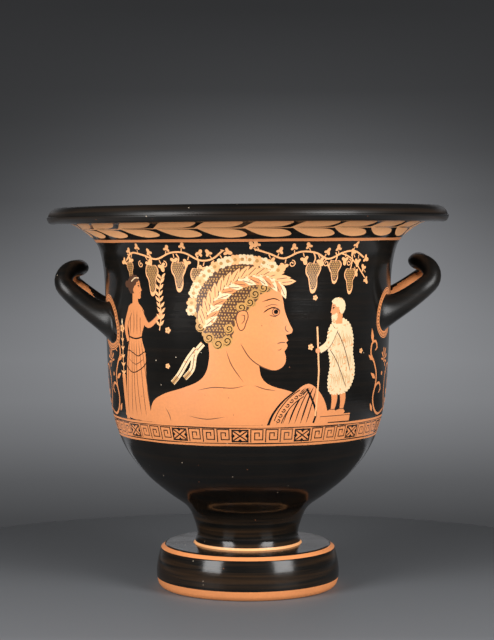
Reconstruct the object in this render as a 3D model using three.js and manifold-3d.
// Bell krater: a wide mixing bowl of fired clay, thrown on the wheel as an inverted bell with
// a heavy overhanging lip, on a short stem and a stepped disc foot. Two round-section loop
// handles are luted low on the wall, rise obliquely and curl in at the top.
//
// The whole vessel is one fired piece. Millimetres, +Z up, the handles along X, the painted
// front towards -Y, the origin at the middle of the resting ring.

import * as THREE from "three";
import { mergeVertices } from "three/addons/utils/BufferGeometryUtils.js";
import ManifoldModule from "manifold-3d";

// ---- driving dimensions -------------------------------------------------------------------

const AROUND = 56;               // facets round the wheel-thrown forms

const lip = {
  radius: 199.5,                 // widest point of the rim
  top: 378.3,                    // height of the rim above the floor
  underside: 362.4,              // flat lower face of the lip
  upperRound: 10.5,              // soft upper edge
  lowerRound: 3.5,               // sharper lower edge
  innerSlope: 7,                 // flat of the rim's top before it slopes in
  bulge: 1.2,                    // how far the band swells between its two edges
};

const wall = {
  flareRadius: 174,              // where the flared neck meets the lip's underside
  handleRadius: 141.5,           // of the nearly straight wall where the handles sit
};

const foot = {
  restRadius: 86.3,              // outer edge of the ring it stands on
  restWidth: 11,
  bellyRadius: 91.4,             // widest point of the convex side
  bellyHeight: 13,
  shoulderRadius: 84,            // edge of the flat top
  shoulderHeight: 42.6,
  shoulderRound: 3,
};

const stem = {
  baseRadius: 53.2,              // small step where the stem meets the foot
  narrowRadius: 50.5,
  narrowHeight: 52,
  stepHeight: 1.4,
};

const recess = {
  ceiling: 62,                   // height of the hollow under the stem
  stemRadius: 33,
};

const bowl = {
  floorHeight: 90,               // inside of the bowl at its middle
};

const handle = {
  rise: THREE.MathUtils.degToRad(45),     // slope of the arms where the curl begins
  armRadius: 280,                // of their slight upward sweep, in side view
  armLength: 70,                 // from inside the wall to the curl
  curl: { out: 169.3, height: 310, radius: 11 },   // centre line of the curl in side view
  curlEnd: THREE.MathUtils.degToRad(184), // its direction where the bend is
  rootSpread: 47,                // half the distance between the arms at the wall
  bendSpread: 41,                // and where the bend starts
  bendReach: 41,                 // developed length of the bend
  armThickness: 20.6,
  bendThickness: 17,
  wallRun: 18,                   // length of the arm that is sunk in the wall
  flare: { up: 9, down: 5, across: 7, fade: 9 },   // extra half-size of the luted root
  sides: 14,
};

// Both handles were luted on by hand: the left one a little low, the right one high, less
// steep and with its back arm lifted.
const handleSets = [
  { turn: 180, out: 0, raise: -2, roll: 0, pitch: 0 },
  { turn: 0, out: -3.5, raise: 5, roll: 2.5, pitch: 5 },
];

// The upper vessel sits a degree out of true, higher on the right and at the back.
const warp = { alongX: 0.0085, alongY: 0.014, from: 150, to: 330 };

// ---- helpers ------------------------------------------------------------------------------

const point = (radius, height) => new THREE.Vector2(radius, height);

// Points of an arc in the profile plane, angles in degrees from the +radius direction.
function arc(centre, radius, startDegrees, endDegrees, steps) {
  const points = [];
  for (let i = 0; i <= steps; i += 1) {
    const angle = THREE.MathUtils.degToRad(startDegrees + (endDegrees - startDegrees) * (i / steps));
    points.push(point(centre.x + radius * Math.cos(angle), centre.y + radius * Math.sin(angle)));
  }
  return points;
}

const spline = (points, steps) => new THREE.SplineCurve(points).getPoints(steps);

// A solid of revolution about Z from a profile of (radius, height) that starts and ends on the
// axis and runs upwards.
function turned(profile) {
  const geometry = new THREE.LatheGeometry(profile, AROUND);
  geometry.rotateX(Math.PI / 2);
  return geometry;
}

// ---- wheel-thrown forms -------------------------------------------------------------------

// Outside of the body from the narrow of the stem up to the lip's underside.
function bodyCurve() {
  return spline([
    point(stem.baseRadius, foot.shoulderHeight + stem.stepHeight),
    point(stem.narrowRadius, stem.narrowHeight),
    point(53.5, 65),
    point(61, 80),
    point(80.4, 94.6),
    point(101.8, 113),
    point(121, 137.4),
    point(132.8, 167),
    point(138.3, 199),
    point(140.8, 245),
    point(142.3, 300),
    point(144.4, 323),
    point(149.2, 341),
    point(158.3, 352),
    point(wall.flareRadius, lip.underside),
  ], 24);
}

function lipProfile() {
  const lower = point(lip.radius - lip.bulge - lip.lowerRound, lip.underside + lip.lowerRound);
  const upper = point(lip.radius - lip.bulge - lip.upperRound, lip.top - lip.upperRound);
  return [
    ...arc(lower, lip.lowerRound, -90, -20, 2),
    point(lip.radius, (lower.y + upper.y) / 2),
    ...arc(upper, lip.upperRound, 10, 90, 5),
  ];
}

function footProfile() {
  const belly = spline([
    point(foot.restRadius, 0),
    point(foot.restRadius + 3, 3),
    point(foot.bellyRadius, foot.bellyHeight),
    point(foot.bellyRadius - 1.2, 26),
    point(foot.shoulderRadius + 3, 37),
  ], 7);
  const shoulder = point(foot.shoulderRadius - foot.shoulderRound, foot.shoulderHeight - foot.shoulderRound);
  return [...belly, ...arc(shoulder, foot.shoulderRound, 40, 90, 2)];
}

function outerForm() {
  return turned([
    point(0, 0),
    ...footProfile(),
    point(stem.baseRadius, foot.shoulderHeight),
    ...bodyCurve(),
    ...lipProfile(),
    point(0, lip.top),
  ]);
}

// The space inside the bowl, with the lip's inner slope, running a little above the rim.
function bowlSpace() {
  const clearance = 10;
  const innerLip = lip.radius - lip.upperRound - lip.innerSlope;
  return turned([
    point(0, bowl.floorHeight),
    ...spline([
      point(16, bowl.floorHeight),
      point(52, 96),
      point(84, 112),
      point(108, 136),
      point(123, 166),
      point(130.3, 199),
      point(132.8, 245),
      point(134.3, 300),
      point(136.2, 325),
      point(141, 345),
      point(151, 358.5),
      point(167, 369),
      point(innerLip, lip.top),
    ], 16),
    point(innerLip + clearance / 2, lip.top + clearance),
    point(0, lip.top + clearance),
  ]);
}

// The hollow under the foot, which runs up into the stem.
function footSpace() {
  const clearance = 10;
  const mouth = foot.restRadius - foot.restWidth;
  return turned([
    point(0, -clearance),
    point(mouth + 1, -clearance),
    point(mouth, 0),
    ...spline([
      point(mouth - 2, 6),
      point(mouth - 13, 22),
      point(recess.stemRadius + 6, 38),
      point(recess.stemRadius, recess.ceiling - 12),
      point(recess.stemRadius - 12, recess.ceiling - 1.5),
    ], 6),
    point(0, recess.ceiling),
  ]);
}

// ---- handles ------------------------------------------------------------------------------

// Side view of a handle: outward distance, height and direction at a run s along it. The arm
// is an arc of large radius and the curl one of small radius, both tangent where they meet.
function handleSide(s) {
  const { rise, curl, armLength, armRadius } = handle;
  const armTurn = Math.min(s - armLength, 0) / armRadius;
  const armAngle = rise + armTurn;
  const angle = armAngle + Math.max(s - armLength, 0) / curl.radius;
  const curlAngle = Math.max(angle, rise);
  return {
    out: curl.out + curl.radius * Math.sin(curlAngle) + armRadius * (Math.sin(armAngle) - Math.sin(rise)),
    height: curl.height - curl.radius * Math.cos(curlAngle) - armRadius * (Math.cos(armAngle) - Math.cos(rise)),
    angle,
  };
}

// Runs and offsets of the centre line from one root to the other: an arm, a round bend and
// the other arm.
function handleRoute() {
  const { armLength, rise, curl, curlEnd, bendReach, bendSpread, rootSpread } = handle;
  const bendStart = armLength + (curlEnd - rise) * curl.radius - bendReach;
  const armSteps = 8;
  const bendSteps = 16;
  const arm = [];
  for (let i = 0; i < armSteps; i += 1) {
    const share = i / armSteps;
    arm.push({ s: bendStart * share ** 1.3, across: THREE.MathUtils.lerp(rootSpread, bendSpread, share) });
  }
  const bend = [];
  for (let i = 0; i <= bendSteps; i += 1) {
    const turn = (Math.PI * i) / bendSteps;
    bend.push({ s: bendStart + bendReach * Math.sin(turn), across: bendSpread * Math.cos(turn) });
  }
  const farArm = arm.map(({ s, across }) => ({ s, across: -across })).reverse();
  return [...arm, ...bend, ...farArm];
}

// Centre, upward section axis and radius at one place on the route. Near the wall the section
// leans upright, to lie along it.
function handleStation({ s, across }) {
  const { armLength, armThickness, bendThickness } = handle;
  const side = handleSide(s);
  const { smoothstep, lerp } = THREE.MathUtils;
  const along = new THREE.Vector3(Math.cos(side.angle), 0, Math.sin(side.angle));
  const normal = new THREE.Vector3(-Math.sin(side.angle), 0, Math.cos(side.angle));
  const upright = 1 - smoothstep(s, armLength * 0.3, armLength);
  return {
    centre: new THREE.Vector3(side.out, -across, side.height),
    up: normal.addScaledVector(along, upright * Math.tan(side.angle)),
    radius: lerp(armThickness, bendThickness, smoothstep(s, armLength * 0.6, armLength * 1.4)) / 2,
  };
}

// A point of a handle's surface. It swells into the luted root as it nears the wall.
function handlePoint({ centre, up, radius }, across, angle) {
  const { flare } = handle;
  const plain = centre.clone()
    .addScaledVector(up, radius * Math.cos(angle))
    .addScaledVector(across, radius * Math.sin(angle));
  const gap = Math.hypot(plain.x, plain.y) - wall.handleRadius;
  const swell = Math.exp(-Math.max(gap, 0) / flare.fade);
  const rise = Math.cos(angle) > 0 ? flare.up : flare.down;
  plain.z += rise * swell * Math.cos(angle);
  return plain.addScaledVector(across, flare.across * swell * Math.sin(angle));
}

// A closed tube of rings about the centre line, flat at both sunk ends.
function handleForm() {
  const stations = handleRoute().map(handleStation);
  const last = stations.length - 1;
  const positions = [];
  const indices = [];
  stations.forEach((station, i) => {
    const before = stations[Math.max(i - 1, 0)].centre;
    const after = stations[Math.min(i + 1, last)].centre;
    const along = new THREE.Vector3().subVectors(after, before).normalize();
    const across = new THREE.Vector3().crossVectors(along, station.up).normalize();
    for (let k = 0; k < handle.sides; k += 1) {
      const angle = (2 * Math.PI * k) / handle.sides;
      positions.push(...handlePoint(station, across, angle).toArray());
    }
  });
  const ring = (i, k) => i * handle.sides + (k % handle.sides);
  for (let i = 0; i < last; i += 1) {
    for (let k = 0; k < handle.sides; k += 1) {
      indices.push(ring(i, k), ring(i + 1, k + 1), ring(i + 1, k));
      indices.push(ring(i, k), ring(i, k + 1), ring(i + 1, k + 1));
    }
  }
  const ends = [0, last].map((i) => {
    positions.push(...stations[i].centre.toArray());
    return positions.length / 3 - 1;
  });
  for (let k = 0; k < handle.sides; k += 1) {
    indices.push(ends[0], ring(0, k + 1), ring(0, k));
    indices.push(ends[1], ring(last, k), ring(last, k + 1));
  }
  const geometry = new THREE.BufferGeometry();
  geometry.setAttribute("position", new THREE.Float32BufferAttribute(positions, 3));
  geometry.setIndex(indices);
  return geometry;
}

// ---- joining ------------------------------------------------------------------------------

const wasm = await ManifoldModule();
wasm.setup();

function toManifold(geometry) {
  const bare = geometry.clone();
  bare.deleteAttribute("normal");
  bare.deleteAttribute("uv");
  const merged = mergeVertices(bare, 1e-4);
  const index = merged.index.array;
  const triangles = [];
  for (let i = 0; i < index.length; i += 3) {
    const [a, b, c] = [index[i], index[i + 1], index[i + 2]];
    if (a !== b && b !== c && c !== a) triangles.push(a, b, c);
  }
  return new wasm.Manifold(new wasm.Mesh({
    numProp: 3,
    vertProperties: new Float32Array(merged.attributes.position.array),
    triVerts: new Uint32Array(triangles),
  }));
}

function toGeometry(solid) {
  const mesh = solid.getMesh();
  const geometry = new THREE.BufferGeometry();
  geometry.setAttribute("position", new THREE.BufferAttribute(new Float32Array(mesh.vertProperties), 3));
  geometry.setIndex(new THREE.BufferAttribute(new Uint32Array(mesh.triVerts), 1));
  return geometry;
}

// Lift the right and the back of the upper vessel, fading out down the wall.
function warped(geometry) {
  const position = geometry.attributes.position;
  for (let i = 0; i < position.count; i += 1) {
    const z = position.getZ(i);
    const lift = warp.alongX * position.getX(i) + warp.alongY * position.getY(i);
    position.setZ(i, z + lift * THREE.MathUtils.smoothstep(z, warp.from, warp.to));
  }
  return geometry;
}

// One handle in its place: rolled and pitched about its root, shifted and turned to its side.
function placedHandle({ turn, out, raise, roll, pitch }) {
  const root = handleSide(handle.wallRun);
  return toManifold(handleForm())
    .translate([-root.out, 0, -root.height])
    .rotate([roll, pitch, 0])
    .translate([root.out + out, 0, root.height + raise])
    .rotate([0, 0, turn]);
}

const krater = handleSets
  .reduce((body, set) => body.add(placedHandle(set)), toManifold(outerForm()))
  .subtract(toManifold(bowlSpace()))
  .subtract(toManifold(footSpace()));

const geometry = warped(toGeometry(krater));
geometry.computeVertexNormals();

const blackGloss = new THREE.MeshStandardMaterial({
  name: "black_gloss",
  color: 0x16120f,
  roughness: 0.28,
  metalness: 0,
});

const mesh = new THREE.Mesh(geometry, blackGloss);
mesh.name = "bell_krater";

const part = new THREE.Group();
part.name = "bell_krater_part";
part.add(mesh);

export default part;
